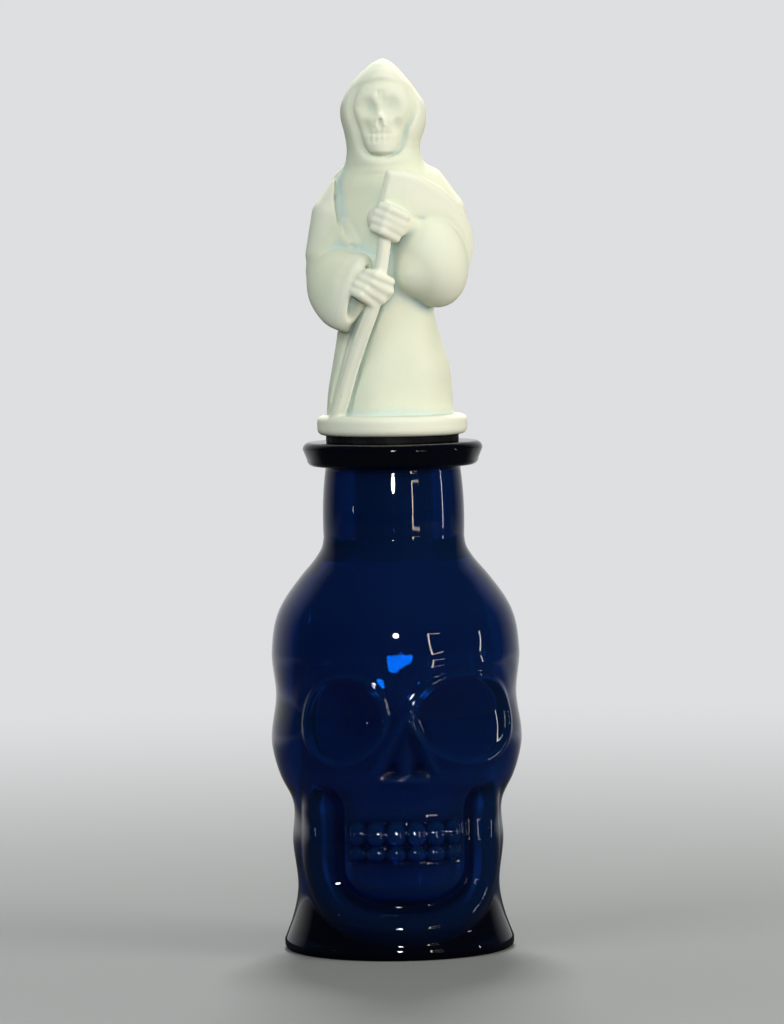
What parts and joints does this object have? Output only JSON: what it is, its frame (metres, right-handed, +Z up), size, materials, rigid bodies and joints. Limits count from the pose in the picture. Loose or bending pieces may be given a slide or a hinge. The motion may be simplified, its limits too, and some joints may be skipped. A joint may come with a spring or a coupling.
{
  "type": "figural bottle with stopper",
  "caption": "Skull-shaped dark blue glass bottle with a round neck and foot, closed by a pale cast stopper in the form of a hooded reaper with a scythe.",
  "frame": {"origin": "centre of the foot, on the surface that the bottle stands on", "axes": "+Z up along the bottle's axis, -Y out of both faces, +X to the left hand of the figure"},
  "size_m": [0.05, 0.0513, 0.1778],
  "materials": {
    "blue_glass": "glossy, fire polished",
    "black_rubber": "matt",
    "pale_resin": "matt cast",
    "cork": "raw"
  },
  "bodies": {
    "bottle": {"skull_bottle": "blue_glass"},
    "seal": {"lip_washer": "black_rubber"},
    "stopper": {"reaper_stopper": "pale_resin", "cork_sleeve": "cork"}
  },
  "joints": [
    {"name": "stopper_lift", "type": "slide", "parent": "bottle", "child": "seal", "axis": [0, 0, 1], "range_m": [0, 0.045]},
    {"name": "stopper_turn", "type": "hinge", "parent": "seal", "child": "stopper", "pos_m": [0, 0, 0.1016], "axis": [0, 0, 1], "continuous": true}
  ]
}
